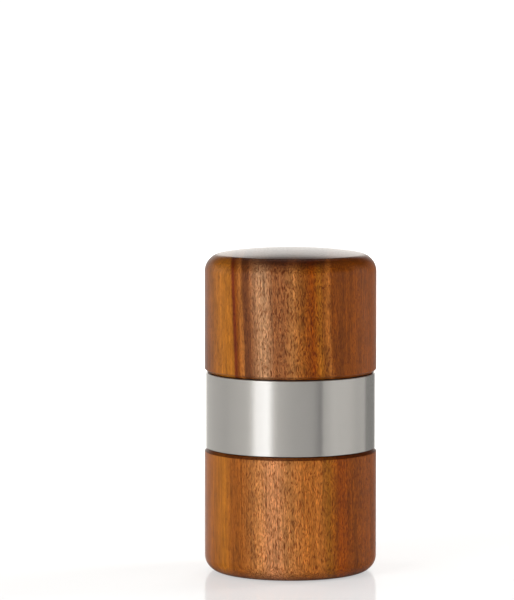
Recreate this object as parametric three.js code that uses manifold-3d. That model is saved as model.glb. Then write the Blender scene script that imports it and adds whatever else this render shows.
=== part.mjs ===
// A twist-action nutmeg grater: a round hand mill of turned acacia with a brushed steel waist.
// The base is a storage cup that the mill plugs into. The knob lifts off to take a nutmeg in its
// barrel, and turns it on a fixed steel grating disc, while a sprung plunger with claws keeps the
// nutmeg from slipping and presses it down.
// Millimetres, +Z up, with the origin at the centre of the underside.

import * as THREE from "three";
import { mergeVertices, toCreasedNormals } from "three/addons/utils/BufferGeometryUtils.js";
import Module from "manifold-3d";

const wasm = await Module();
wasm.setup();

// Outside
const outerRadius = 25;
const baseHeight = 36.1;
const bandHeight = 21.9;
const knobHeight = 35.85;
const seam = 0.2;
const crownFall = 2.1;
const crownRounding = 5.2;
const footRounding = 4.6;
const arrisRounding = 0.7;
const boreArris = 0.35;
const bandRecess = 0.35;

// Clearances: round a fixed piece, round a running one, and between two faces that bear
const fixedGap = 0.3;
const runningGap = 0.4;
const seatGap = 0.1;

// Edge rounding of the moulded pieces
const mouldedRounding = 0.5;

// Wooden base cup and its moulded liner
const woodWall = 4.2;
const baseFloor = 6.5;
const dishDepth = 0.5;
const footWidth = 3.6;
const linerWall = 1.1;
const linerFloor = 1.2;
const linerSetback = 0.4;
const linerCorner = 2.2;

// Outlet ring that plugs into the base, its clips, and the seals
const spigotWall = 2.2;
const spigotLength = 8;
const outletThickness = 1.6;
const collarHeight = 4;
const collarWall = 1.3;
const clipCount = 3;
const clipWidth = 7;
const clipHeight = 1.8;
const clipReach = 1;
const sealSection = 1.5;
const sealSqueeze = 0.15;
const sealDepth = 2.6;

// Steel band and the moulded housing inside it
const bandSheet = 0.8;
const bandEdgeRounding = 0.3;
const housingWall = 1.5;
const housingSetback = 0.2;
const shelfThickness = 1.6;
const boreWall = 1.8;
const bossWall = 1.1;
const bossSetback = 0.4;
const ribCount = 6;
const ribThickness = 1.2;

// Steel grating disc, its teeth, its clamp and its screws
const discRise = 4.4;
const discThickness = 0.6;
const discMargin = 1.95;
const toothRise = 0.75;
const toothRadius = 1.3;
const toothLength = 3.2;
const toothSheet = 0.32;
const toothPitch = 4.3;
const toothRowPitch = 2.55;
const toothRowTurn = 0.9;
const clampFlare = 0.9;
const clampThickness = 1.8;
const clampSetback = 0.4;
const discScrewCount = 3;
const discScrewRadius = 1;
const discScrewLength = 8;
const discScrewHead = 1.8;
const discScrewHeadHeight = 1.2;

// Glide washer, turning ring with its driving lugs, and the keeper that holds it
const washerThickness = 0.5;
const washerWidth = 4.2;
const flangeThickness = 1.6;
const keeperHeight = 2.4;
const keeperSetback = 0.1;
const shoulderLift = 0.2;
const shoulderWidth = 1.3;
const neckHeight = 5;
const neckWall = 2.4;
const lugCount = 3;
const lugWidth = 6;
const lugHeight = 2;
const spannerSlotCount = 4;
const spannerSlotWidth = 3;
const spannerSlotDepth = 1.1;

// Knob cap, the barrel inside it, and its screws
const crownThickness = 9.55;
const skirtWall = 1.4;
const ceilingThickness = 1.8;
const barrelWall = 1.4;
const barrelLift = 0.5;
const slotWidth = 4;
const capScrewCount = 3;
const capScrewRadius = 1.2;
const capScrewLength = 7.6;
const capScrewHead = 2.2;
const capScrewHeadHeight = 1.4;

// Plunger, claw plate, its screw and the spring
const plungerThickness = 3;
const plungerTravel = 21;
const pilotHeight = 2;
const clawLift = 0.4;
const clawLength = 6.2;
const clawSheet = 0.6;
const clawCount = 5;
const clawWidth = 3;
const clawShoulder = 1.6;
const clawSetback = 2.5;
const clawScrewRadius = 1.2;
const clawScrewLength = 5;
const clawScrewHead = 2.2;
const clawScrewHeadHeight = 1.3;
const recessWidth = 0.5;
const springWire = 0.8;
const springRadius = 5.7;
const springTurns = 6;
const springEndGap = 0.5;

// Facets round a turned piece, a small one and a tooth, and steps along a rounding, a dome and a curl
const woodFacets = 48;
const mouldedFacets = 36;
const screwFacets = 10;
const sealSides = 6;
const toothFacets = 10;
const arcSteps = 1;
const domeSteps = 5;
const curlSteps = 8;
const wireSides = 5;

// Heights of the outside, from the floor up
const bandBottom = baseHeight + seam;
const bandTop = bandBottom + bandHeight;
const knobBottom = bandTop + seam;
const knobTop = knobBottom + knobHeight;

// Heights inside the waist: the grating disc from below, the turning ring from above
const outletBottom = baseHeight + seatGap;
const outletTop = outletBottom + outletThickness;
const collarTop = outletTop + collarHeight;
const discTop = outletTop + discRise;
const discBottom = discTop - discThickness;
const clampTop = discBottom - seatGap;
const clampBottom = clampTop - clampThickness;
const housingTop = bandTop - housingSetback;
const keeperTop = housingTop - keeperSetback;
const keeperBottom = keeperTop - keeperHeight;
const flangeTop = keeperBottom - seatGap;
const flangeBottom = flangeTop - flangeThickness;
const washerTop = flangeBottom - seatGap;
const washerBottom = washerTop - washerThickness;
const shelfTop = washerBottom - seatGap;
const shelfBottom = shelfTop - shelfThickness;
const shoulderTop = knobBottom + shoulderLift;
const neckTop = shoulderTop + neckHeight;

// Heights inside the knob
const skirtBottom = shoulderTop + seatGap;
const crownBottom = knobTop - crownThickness;
const insertTop = crownBottom - seatGap;
const ceilingBottom = insertTop - ceilingThickness;
const barrelBottom = discTop + barrelLift;
const clawPlateBottom = discTop + toothRise + clawLift + clawLength;
const plungerBottom = clawPlateBottom + clawSheet + seatGap;
const plungerTop = plungerBottom + plungerThickness;

// Radii from the outside in
const woodBore = outerRadius - woodWall;
const linerRadius = woodBore - fixedGap;
const linerBore = linerRadius - linerWall;
const spigotRadius = linerBore - runningGap;
const spigotBore = spigotRadius - spigotWall;
const bandRadius = outerRadius - bandRecess;
const bandBore = bandRadius - bandSheet;
const housingRadius = bandBore - fixedGap;
const housingBore = housingRadius - housingWall;
const collarRadius = housingBore - fixedGap;
const skirtRadius = woodBore - fixedGap;
const skirtBore = skirtRadius - skirtWall;
const neckRadius = skirtBore - runningGap;
const neckBore = neckRadius - neckWall;
const ringRadius = neckRadius + shoulderWidth;
const ringFlangeRadius = housingBore - runningGap;
const keeperRadius = housingBore - fixedGap;
const keeperBore = ringRadius + runningGap;

// Radii from the collar in: the grating disc, its bosses, the bore, the barrel and the plunger
const collarBore = collarRadius - collarWall;
const discRadius = collarBore - discMargin;
const bossRadius = discScrewRadius + fixedGap + bossWall;
const discScrewCircle = discRadius - bossRadius;
const housingInnerBore = discScrewCircle - bossRadius - bossSetback;
const boreTubeRadius = housingInnerBore + boreWall;
const barrelRadius = housingInnerBore - runningGap;
const barrelBore = barrelRadius - barrelWall;
const capScrewCircle = (barrelRadius + skirtBore) / 2;
const plungerRadius = barrelBore - runningGap;
const clawCircle = plungerRadius - clawSetback;
const springBore = springRadius * Math.cos(Math.PI / curlSteps) - springWire / 2;
const pilotRadius = springBore - fixedGap;

// A closed three.js geometry as a solid that can be joined and cut.
function solid(geometry) {
  const bare = geometry.clone();
  bare.deleteAttribute("normal");
  bare.deleteAttribute("uv");
  const merged = mergeVertices(bare, 1e-4);
  const corners = merged.index.array;
  const triangles = [];
  for (let i = 0; i < corners.length; i += 3) {
    const [a, b, c] = corners.slice(i, i + 3);
    if (a !== b && b !== c && c !== a) triangles.push(a, b, c);
  }
  return new wasm.Manifold(
    new wasm.Mesh({
      numProp: 3,
      vertProperties: merged.attributes.position.array,
      triVerts: new Uint32Array(triangles),
    }),
  );
}

// A solid back as a three.js geometry, smooth where its faces meet at a shallow angle.
function geometryOf(shape) {
  const mesh = shape.getMesh();
  const geometry = new THREE.BufferGeometry();
  geometry.setAttribute("position", new THREE.BufferAttribute(mesh.vertProperties, 3));
  geometry.setIndex(new THREE.BufferAttribute(mesh.triVerts, 1));
  return toCreasedNormals(geometry, Math.PI / 6);
}

const join = (first, ...rest) => rest.flat().reduce((whole, next) => whole.add(next), first);
const cut = (first, ...rest) => rest.flat().reduce((left, tool) => left.subtract(tool), first);

// The points of a closed outline whose corners are [radius, height] or [radius, height, rounding].
function roundedOutline(corners) {
  const at = ([r, z]) => new THREE.Vector2(r, z);
  const points = corners.flatMap((corner, i) => {
    const here = at(corner);
    const rounding = corner[2] ?? 0;
    if (rounding === 0) return [here];
    const back = at(corners.at(i - 1)).sub(here).normalize();
    const ahead = at(corners[(i + 1) % corners.length]).sub(here).normalize();
    const half = Math.acos(back.dot(ahead)) / 2;
    const centre = back.clone().add(ahead).setLength(rounding / Math.sin(half)).add(here);
    const start = back.clone().setLength(rounding / Math.tan(half)).add(here).sub(centre);
    const end = ahead.clone().setLength(rounding / Math.tan(half)).add(here).sub(centre);
    const sweep = Math.atan2(start.cross(end), start.dot(end));
    const steps = arcSteps + Math.round(rounding);
    const origin = new THREE.Vector2();
    return Array.from({ length: steps + 1 }, (_, step) =>
      start.clone().rotateAround(origin, (sweep * step) / steps).add(centre),
    );
  });
  return [...points, points[0].clone()];
}

// A turned or moulded round piece: an outline in the radius and height plane, spun about Z.
function turned(corners, facets = mouldedFacets) {
  const outline = roundedOutline(corners);
  if (THREE.ShapeUtils.isClockWise(outline)) outline.reverse();
  return solid(new THREE.LatheGeometry(outline, facets).rotateX(Math.PI / 2));
}

// A plain ring between two radii and two heights.
function ring(outer, inner, bottom, top) {
  return turned([
    [inner, bottom],
    [outer, bottom],
    [outer, top],
    [inner, top],
  ]);
}

// A plain disc between two heights.
function disc(radius, bottom, top) {
  return turned([
    [0, bottom],
    [radius, bottom],
    [radius, top],
    [0, top],
  ]);
}

// An outline in the radius and height plane, as a bar of a given width across the X axis.
function radialBar(points, width) {
  const shape = new THREE.Shape(points.map(([r, z]) => new THREE.Vector2(r, z)));
  const bar = new THREE.ExtrudeGeometry(shape, { depth: width, bevelEnabled: false });
  return bar.rotateX(Math.PI / 2).translate(0, width / 2, 0);
}

// The same with a rectangular outline.
function radialBlock(inner, outer, bottom, top, width) {
  return radialBar(
    [
      [inner, bottom],
      [outer, bottom],
      [outer, top],
      [inner, top],
    ],
    width,
  );
}

// An upright round bar at a radius on the X axis.
function post(circle, radius, bottom, top) {
  const bar = new THREE.CylinderGeometry(radius, radius, top - bottom, screwFacets);
  return bar.rotateX(Math.PI / 2).translate(circle, 0, (bottom + top) / 2);
}

// Solids of one geometry, evenly spaced round Z.
function around(geometry, count, firstAngle = 0) {
  return Array.from({ length: count }, (_, i) =>
    solid(geometry.clone().rotateZ(firstAngle + (2 * Math.PI * i) / count)),
  );
}

// Wooden base cup: a rounded foot, a dished underside and a bore for the liner.
function makeBaseCup() {
  const dishRadius = outerRadius - footRounding - footWidth;
  return turned(
    [
      [0, dishDepth],
      [dishRadius, dishDepth],
      [dishRadius + dishDepth, 0],
      [outerRadius, 0, footRounding],
      [outerRadius, baseHeight, arrisRounding],
      [woodBore, baseHeight, boreArris],
      [woodBore, baseFloor],
      [0, baseFloor],
    ],
    woodFacets,
  );
}

// Base liner: a thin moulded cup that keeps the wood clean and gives the seal a true bore.
function makeBaseLiner() {
  const bottom = baseFloor + seatGap;
  const top = baseHeight - linerSetback;
  return turned([
    [0, bottom],
    [linerRadius, bottom, linerCorner],
    [linerRadius, top],
    [linerBore, top, mouldedRounding],
    [linerBore, bottom + linerFloor, linerCorner - linerWall],
    [0, bottom + linerFloor],
  ]);
}

// Rubber seal ring that grips a bore, centred on a height.
function makeSeal(bore, height) {
  const centre = bore - sealSqueeze - sealSection / 2;
  return turned(
    Array.from({ length: sealSides }, (_, i) => {
      const angle = (2 * Math.PI * i) / sealSides;
      const out = (sealSection / 2) * Math.cos(angle);
      const up = (sealSection / 2) * Math.sin(angle);
      return [centre + out, height + up];
    }),
  );
}

// The groove for that seal, as the ring to cut from a wall inside the bore.
function sealGroove(bore, height) {
  const floor = bore - sealSqueeze - sealSection - seatGap;
  const half = sealSection / 2 + seatGap;
  return ring(bore, floor, height - half, height + half);
}

// Outlet ring: the face that the mill stands on the base with, a spigot that plugs into it, and
// a collar whose clips snap into the housing.
function makeOutletRing() {
  const spigotBottom = outletBottom - spigotLength;
  const body = turned([
    [spigotBore, spigotBottom],
    [spigotRadius, spigotBottom, mouldedRounding],
    [spigotRadius, outletBottom],
    [housingRadius, outletBottom],
    [housingRadius, outletTop],
    [collarRadius, outletTop],
    [collarRadius, collarTop],
    [collarBore, collarTop],
    [collarBore, outletTop],
    [spigotBore, outletTop],
  ]);
  const clip = radialBar(
    [
      [collarBore + collarWall / 2, collarTop - clipHeight],
      [collarRadius + clipReach, collarTop - clipHeight],
      [collarRadius, collarTop],
      [collarBore + collarWall / 2, collarTop],
    ],
    clipWidth,
  );
  return cut(
    join(body, around(clip, clipCount, Math.PI / ribCount)),
    sealGroove(linerBore, outletBottom - sealDepth),
  );
}

// Housing: an outer wall inside the band, a bore for the barrel, and between them a shelf for the
// turning ring, ribs, bosses for the disc's screws and windows for the clips.
function makeHousing() {
  const bottom = outletTop + seatGap;
  const boreBottom = discTop + seatGap;
  const windowTop = collarTop + fixedGap;
  const body = turned([
    [housingInnerBore, boreBottom],
    [boreTubeRadius, boreBottom],
    [boreTubeRadius, shelfBottom, mouldedRounding],
    [housingBore, shelfBottom],
    [housingBore, bottom],
    [housingRadius, bottom],
    [housingRadius, housingTop, mouldedRounding],
    [housingBore, housingTop],
    [housingBore, shelfTop],
    [housingInnerBore, shelfTop],
  ]);
  const shelfMiddle = (shelfBottom + shelfTop) / 2;
  const boss = post(discScrewCircle, bossRadius, boreBottom, shelfMiddle);
  const rib = radialBar(
    [
      [boreTubeRadius - boreWall / 2, windowTop + fixedGap],
      [boreTubeRadius, windowTop + fixedGap],
      [housingBore + housingWall / 2, shelfBottom - boreWall],
      [housingBore + housingWall / 2, shelfMiddle],
      [boreTubeRadius - boreWall / 2, shelfMiddle],
    ],
    ribThickness,
  );
  const window = radialBlock(
    housingBore - housingWall,
    housingRadius + housingWall,
    collarTop - clipHeight - fixedGap,
    windowTop,
    clipWidth + 2 * fixedGap,
  );
  const screwHole = post(
    discScrewCircle,
    discScrewRadius + fixedGap,
    boreBottom - boreWall,
    clampBottom - seatGap + discScrewLength + fixedGap,
  );
  return cut(
    join(body, around(boss, discScrewCount), around(rib, ribCount)),
    around(window, clipCount, Math.PI / ribCount),
    around(screwHole, discScrewCount),
  );
}

// Steel band: a straight tube of brushed sheet with softened edges.
function makeSteelBand() {
  return turned(
    [
      [bandBore, bandBottom],
      [bandRadius, bandBottom, bandEdgeRounding],
      [bandRadius, bandTop, bandEdgeRounding],
      [bandBore, bandTop],
    ],
    woodFacets,
  );
}

// A cone lying along Y with its mouth at a place on it, sunk so that its top stands a tooth's
// height above the disc.
function toothCone(radius, length, mouth) {
  const cone = new THREE.ConeGeometry(radius, length, toothFacets).rotateX(Math.PI);
  return cone.translate(0, mouth - length / 2, discTop + toothRise - toothRadius);
}

// The radius and the turn of each tooth: rows whose tracks meet, each with as many teeth as its
// pitch allows, and each started further round than the row outside it.
function toothPlaces() {
  const places = [];
  const outermost = barrelBore - toothRadius - fixedGap;
  const rows = Math.ceil((outermost - toothRadius) / toothRowPitch);
  for (let row = 0; row < rows; row++) {
    const radius = outermost - row * toothRowPitch;
    const count = Math.floor((2 * Math.PI * radius) / toothPitch);
    for (let i = 0; i < count; i++)
      places.push([radius, row * toothRowTurn + (2 * Math.PI * i) / count]);
  }
  return places;
}

// Grating disc: stainless sheet, with each tooth punched up as a scale over its hole.
function makeGratingDisc() {
  const place = (cone) =>
    toothPlaces().map(([radius, turn]) => solid(cone.clone().translate(radius, 0, 0).rotateZ(turn)));
  const scales = place(toothCone(toothRadius, toothLength, 0));
  const hollowRadius = toothRadius - toothSheet;
  const hollows = place(toothCone(hollowRadius, toothLength - toothSheet, toothSheet));
  const above = disc(discRadius, discTop - discThickness / 2, discTop + 2 * toothRise);
  const screwHole = post(
    discScrewCircle,
    discScrewRadius + fixedGap,
    discBottom - discThickness,
    discTop + discThickness,
  );
  return cut(
    join(
      disc(discRadius, discBottom, discTop),
      scales.map((scale) => scale.intersect(above)),
    ),
    hollows,
    around(screwHole, discScrewCount),
  );
}

// Disc clamp: a moulded ring that holds the disc up to the housing, flared where gratings fall.
function makeDiscClamp() {
  const bore = barrelBore + clampSetback;
  const body = turned([
    [bore + clampFlare, clampBottom],
    [discRadius, clampBottom, mouldedRounding],
    [discRadius, clampTop],
    [bore, clampTop],
    [bore, clampBottom + clampFlare],
  ]);
  const screwHole = post(
    discScrewCircle,
    discScrewRadius + fixedGap,
    clampBottom - clampThickness,
    clampTop + clampThickness,
  );
  return cut(body, around(screwHole, discScrewCount));
}

// A pan-head screw with a cross recess, pointing up, with the seat of its head at height 0.
function makeScrew(radius, length, headRadius, headHeight) {
  const body = turned(
    [
      [0, -headHeight],
      [headRadius, -headHeight, headHeight / 2],
      [headRadius, 0],
      [radius, 0],
      [radius, length - radius],
      [0, length],
    ],
    screwFacets,
  );
  const blade = new THREE.BoxGeometry(headRadius, recessWidth, headHeight);
  blade.translate(0, 0, -headHeight);
  return cut(body, solid(blade), solid(blade.clone().rotateZ(Math.PI / 2)));
}

// Glide washer: a slippery ring between the shelf and the turning ring.
function makeGlideWasher() {
  return ring(ringFlangeRadius, ringFlangeRadius - washerWidth, washerBottom, washerTop);
}

// Turning ring: a flange kept under the keeper, a shoulder that the knob stands on, a neck that
// it slips over, and lugs that turn it.
function makeTurningRing() {
  const body = turned([
    [neckBore, flangeBottom],
    [ringFlangeRadius, flangeBottom],
    [ringFlangeRadius, flangeTop],
    [ringRadius, flangeTop],
    [ringRadius, shoulderTop],
    [neckRadius, shoulderTop],
    [neckRadius, neckTop, mouldedRounding],
    [neckBore, neckTop],
  ]);
  const lug = radialBlock(
    neckRadius - neckWall / 2,
    ringRadius,
    shoulderTop - lugHeight / 2,
    shoulderTop + lugHeight,
    lugWidth,
  );
  return cut(join(body, around(lug, lugCount)), sealGroove(skirtBore, neckTop - sealSection));
}

// Keeper ring: fixed in the housing over the turning ring's flange, with slots for a spanner.
function makeKeeperRing() {
  const slot = radialBlock(
    keeperBore - spannerSlotDepth,
    keeperRadius + spannerSlotDepth,
    keeperTop - spannerSlotDepth,
    keeperTop + spannerSlotDepth,
    spannerSlotWidth,
  );
  return cut(
    ring(keeperRadius, keeperBore, keeperBottom, keeperTop),
    around(slot, spannerSlotCount, Math.PI / spannerSlotCount),
  );
}

// Wooden knob cap: a shallow dome with a rounded edge, a bore for the barrel's skirt and pilot holes
// in its ceiling.
function makeKnobCap() {
  const dome = Array.from({ length: domeSteps }, (_, step) => {
    const share = step / domeSteps;
    return [outerRadius * share, knobTop - crownFall * share ** 2];
  });
  const body = turned(
    [
      ...dome,
      [outerRadius, knobTop - crownFall, crownRounding],
      [outerRadius, knobBottom, arrisRounding],
      [woodBore, knobBottom, boreArris],
      [woodBore, crownBottom],
      [0, crownBottom],
    ],
    woodFacets,
  );
  const pilotHole = post(
    capScrewCircle,
    capScrewRadius + fixedGap,
    crownBottom - ceilingThickness,
    ceilingBottom - seatGap + capScrewLength + fixedGap,
  );
  return cut(body, around(pilotHole, capScrewCount, Math.PI / capScrewCount));
}

// Knob barrel: a skirt fixed in the wood, a ceiling with a pilot for the spring, and the slotted
// barrel that carries the nutmeg and steers the plunger. The skirt is notched for the lugs.
function makeKnobBarrel() {
  const body = turned([
    [barrelBore, barrelBottom],
    [barrelRadius, barrelBottom, mouldedRounding],
    [barrelRadius, ceilingBottom, mouldedRounding],
    [skirtBore, ceilingBottom, mouldedRounding],
    [skirtBore, skirtBottom],
    [skirtRadius, skirtBottom],
    [skirtRadius, insertTop, mouldedRounding],
    [0, insertTop],
    [0, ceilingBottom - pilotHeight],
    [pilotRadius, ceilingBottom - pilotHeight, mouldedRounding],
    [pilotRadius, ceilingBottom],
    [barrelBore, ceilingBottom],
  ]);
  const slot = radialBlock(
    barrelBore - barrelWall,
    barrelRadius + barrelWall,
    plungerBottom - seatGap,
    plungerTop + plungerTravel + fixedGap,
    slotWidth,
  );
  const notch = radialBlock(
    skirtBore - skirtWall,
    skirtRadius + skirtWall,
    skirtBottom - lugHeight,
    shoulderTop + lugHeight + fixedGap,
    lugWidth + 2 * fixedGap,
  );
  const screwHole = post(
    capScrewCircle,
    capScrewRadius + fixedGap,
    ceilingBottom - ceilingThickness,
    insertTop + ceilingThickness,
  );
  return cut(
    body,
    around(slot, lugCount),
    around(notch, lugCount),
    around(screwHole, capScrewCount, Math.PI / capScrewCount),
  );
}

// Plunger: a disc with a pilot for the spring, and keys that run in the barrel's slots.
function makePlunger() {
  const body = turned([
    [0, plungerBottom],
    [plungerRadius, plungerBottom, mouldedRounding],
    [plungerRadius, plungerTop, mouldedRounding],
    [pilotRadius, plungerTop],
    [pilotRadius, plungerTop + pilotHeight, mouldedRounding],
    [0, plungerTop + pilotHeight],
  ]);
  const key = radialBlock(
    plungerRadius - barrelWall,
    barrelRadius,
    plungerBottom,
    plungerTop,
    slotWidth - 2 * fixedGap,
  );
  const screwHole = post(
    0,
    clawScrewRadius + fixedGap,
    plungerBottom - plungerThickness,
    plungerTop + 2 * pilotHeight,
  );
  return cut(join(body, around(key, lugCount)), solid(screwHole));
}

// Claw plate: a stamped disc whose pointed claws are bent down to grip the nutmeg.
function makeClawPlate() {
  const plate = turned([
    [0, clawPlateBottom],
    [clawCircle, clawPlateBottom],
    [clawCircle, clawPlateBottom + clawSheet, clawSheet / 2],
    [0, clawPlateBottom + clawSheet],
  ]);
  const outline = new THREE.Shape();
  const bulge = -(clawShoulder + clawLength) / 2;
  outline.moveTo(-clawWidth / 2, clawSheet / 2);
  outline.lineTo(-clawWidth / 2, -clawShoulder);
  outline.quadraticCurveTo(-clawWidth / 2, bulge, 0, -clawLength);
  outline.quadraticCurveTo(clawWidth / 2, bulge, clawWidth / 2, -clawShoulder);
  outline.lineTo(clawWidth / 2, clawSheet / 2);
  const claw = new THREE.ExtrudeGeometry(outline, {
    depth: clawSheet,
    bevelEnabled: false,
    curveSegments: 2 * arcSteps,
  });
  claw.rotateX(Math.PI / 2).rotateZ(Math.PI / 2);
  claw.translate(clawCircle * Math.cos(Math.PI / mouldedFacets) - clawSheet, 0, clawPlateBottom);
  const screwHole = post(
    0,
    clawScrewRadius + fixedGap,
    clawPlateBottom - clawSheet,
    clawPlateBottom + 2 * clawSheet,
  );
  return cut(join(plate, around(claw, clawCount)), solid(screwHole));
}

// The spring's centre line: a closed turn at each end and open turns between.
function springPath() {
  const bottom = plungerTop + seatGap + springWire / 2;
  const top = ceilingBottom - seatGap - springWire / 2;
  const endRise = springWire + springEndGap;
  const turns = springTurns + 2;
  const steps = turns * curlSteps;
  return Array.from({ length: steps + 1 }, (_, step) => {
    const turn = step / curlSteps;
    const open = Math.min(Math.max(turn - 1, 0), springTurns) / springTurns;
    const closed = turn - open * springTurns;
    const z = bottom + closed * endRise + open * (top - bottom - 2 * endRise);
    const angle = 2 * Math.PI * turn;
    return new THREE.Vector3(springRadius * Math.cos(angle), springRadius * Math.sin(angle), z);
  });
}

// Says how near the spring comes to itself, between points at least half a turn apart.
function reportSpringGap(path) {
  let least = Infinity;
  for (let i = 0; i < path.length; i++)
    for (let j = i + curlSteps / 2; j < path.length; j++)
      least = Math.min(least, path[i].distanceTo(path[j]) - springWire);
  console.log(`pressure_spring: least gap to itself ${least.toFixed(2)} mm`);
}

// Pressure spring: round wire wound as one unbroken tube.
function makePressureSpring() {
  const path = springPath();
  reportSpringGap(path);
  const positions = [];
  path.forEach((centre, i) => {
    const along = path[Math.min(i + 1, path.length - 1)].clone().sub(path[Math.max(i - 1, 0)]);
    const out = new THREE.Vector3(centre.x, centre.y, 0).normalize();
    const up = new THREE.Vector3().crossVectors(out, along).normalize();
    for (let side = 0; side < wireSides; side++) {
      const angle = (2 * Math.PI * side) / wireSides;
      const point = centre.clone();
      point.addScaledVector(out, (springWire / 2) * Math.cos(angle));
      point.addScaledVector(up, (springWire / 2) * Math.sin(angle));
      positions.push(...point.toArray());
    }
  });
  const corners = [];
  const last = (path.length - 1) * wireSides;
  for (let start = 0; start < last; start += wireSides)
    for (let side = 0; side < wireSides; side++) {
      const a = start + side;
      const b = start + ((side + 1) % wireSides);
      corners.push(a, a + wireSides, b, b, a + wireSides, b + wireSides);
    }
  for (let side = 1; side < wireSides - 1; side++) {
    corners.push(0, side, side + 1);
    corners.push(last, last + side + 1, last + side);
  }
  const tube = new THREE.BufferGeometry();
  tube.setAttribute("position", new THREE.Float32BufferAttribute(positions, 3));
  tube.setIndex(corners);
  return solid(tube);
}

const acacia = { color: 0x9a5d33, roughness: 0.45, metalness: 0 };
const brushedSteel = { color: 0xb9b4ae, roughness: 0.35, metalness: 1 };
const stainlessSheet = { color: 0xc4c4c2, roughness: 0.25, metalness: 1 };
const blackNylon = { color: 0x1d1d1f, roughness: 0.55, metalness: 0 };
const greyNylon = { color: 0x3c3d40, roughness: 0.5, metalness: 0 };
const whiteAcetal = { color: 0xe9e7e1, roughness: 0.4, metalness: 0 };
const blackRubber = { color: 0x101010, roughness: 0.8, metalness: 0 };
const zincSteel = { color: 0xa9abb0, roughness: 0.3, metalness: 1 };
const springSteel = { color: 0x8f9296, roughness: 0.3, metalness: 1 };

// A named mesh of one piece.
function piece(name, shape, finish) {
  const mesh = new THREE.Mesh(geometryOf(shape), new THREE.MeshStandardMaterial(finish));
  mesh.name = name;
  return mesh;
}

// Identical pieces round Z, each its own mesh, made once and turned to its place.
function piecesAround(name, shape, finish, count, firstAngle = 0) {
  return Array.from({ length: count }, (_, i) => {
    const mesh = piece(`${name}_${i + 1}`, shape, finish);
    mesh.rotation.z = firstAngle + (2 * Math.PI * i) / count;
    return mesh;
  });
}

const discScrew = makeScrew(
  discScrewRadius,
  discScrewLength,
  discScrewHead,
  discScrewHeadHeight,
).translate([discScrewCircle, 0, clampBottom - seatGap]);

const capScrew = makeScrew(
  capScrewRadius,
  capScrewLength,
  capScrewHead,
  capScrewHeadHeight,
).translate([capScrewCircle, 0, ceilingBottom - seatGap]);

const clawScrew = makeScrew(
  clawScrewRadius,
  clawScrewLength,
  clawScrewHead,
  clawScrewHeadHeight,
).translate([0, 0, clawPlateBottom - seatGap]);

const base = new THREE.Group().add(
  piece("base_cup", makeBaseCup(), acacia),
  piece("base_liner", makeBaseLiner(), greyNylon),
);

const plungerGroup = new THREE.Group().add(
  piece("plunger", makePlunger(), whiteAcetal),
  piece("claw_plate", makeClawPlate(), stainlessSheet),
  piece("claw_screw", clawScrew, zincSteel),
);

const knob = new THREE.Group().add(
  piece("knob_cap", makeKnobCap(), acacia),
  piece("knob_barrel", makeKnobBarrel(), blackNylon),
  ...piecesAround("cap_screw", capScrew, zincSteel, capScrewCount, Math.PI / capScrewCount),
  piece("pressure_spring", makePressureSpring(), springSteel),
  plungerGroup,
);

const turningGroup = new THREE.Group().add(
  piece("turning_ring", makeTurningRing(), greyNylon),
  piece("knob_seal", makeSeal(skirtBore, neckTop - sealSection), blackRubber),
  knob,
);

const millBody = new THREE.Group().add(
  piece("outlet_ring", makeOutletRing(), blackNylon),
  piece("base_seal", makeSeal(linerBore, outletBottom - sealDepth), blackRubber),
  piece("housing", makeHousing(), blackNylon),
  piece("steel_band", makeSteelBand(), brushedSteel),
  piece("grating_disc", makeGratingDisc(), stainlessSheet),
  piece("disc_clamp", makeDiscClamp(), greyNylon),
  ...piecesAround("disc_screw", discScrew, zincSteel, discScrewCount),
  piece("glide_washer", makeGlideWasher(), whiteAcetal),
  piece("keeper_ring", makeKeeperRing(), greyNylon),
  turningGroup,
);

const grater = new THREE.Group().add(base, millBody);

export default grater;
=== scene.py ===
import math

import bmesh
import bpy
from mathutils import Matrix, Vector


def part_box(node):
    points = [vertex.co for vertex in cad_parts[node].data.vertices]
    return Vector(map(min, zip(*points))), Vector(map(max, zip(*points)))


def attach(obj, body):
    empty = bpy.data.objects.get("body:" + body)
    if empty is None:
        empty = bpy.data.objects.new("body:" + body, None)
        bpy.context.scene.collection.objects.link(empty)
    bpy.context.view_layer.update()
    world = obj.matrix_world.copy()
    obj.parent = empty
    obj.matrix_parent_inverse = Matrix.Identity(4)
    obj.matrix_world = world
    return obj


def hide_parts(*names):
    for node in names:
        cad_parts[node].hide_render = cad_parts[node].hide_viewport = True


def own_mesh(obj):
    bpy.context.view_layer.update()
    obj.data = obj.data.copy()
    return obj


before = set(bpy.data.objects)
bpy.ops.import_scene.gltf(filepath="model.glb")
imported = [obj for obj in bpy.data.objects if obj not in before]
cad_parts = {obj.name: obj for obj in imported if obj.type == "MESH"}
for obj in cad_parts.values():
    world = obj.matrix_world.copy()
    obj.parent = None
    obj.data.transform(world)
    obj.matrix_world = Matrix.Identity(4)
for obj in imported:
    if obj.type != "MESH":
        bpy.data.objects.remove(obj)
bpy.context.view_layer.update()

# Base cup. Turned from one blank of acacia with the grain upright: a large rounded foot, a dished
# underside and a straight bore for the liner. Sanded, oiled and rubbed to a satin.

mm = 0.001
wood_steps = 192
foot_rounding = 4.6
foot_width = 3.6
dish_depth = 0.5
chamfer = 0.9
arris = 0.15
bore_arris = 0.35
fixed_gap = 0.3
seat_gap = 0.1
arc_steps = 3
margin = 0.04
crease_angle = math.radians(32)


def span(node):
    """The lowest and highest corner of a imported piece, in millimetres."""
    return [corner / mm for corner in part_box(node)]


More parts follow.
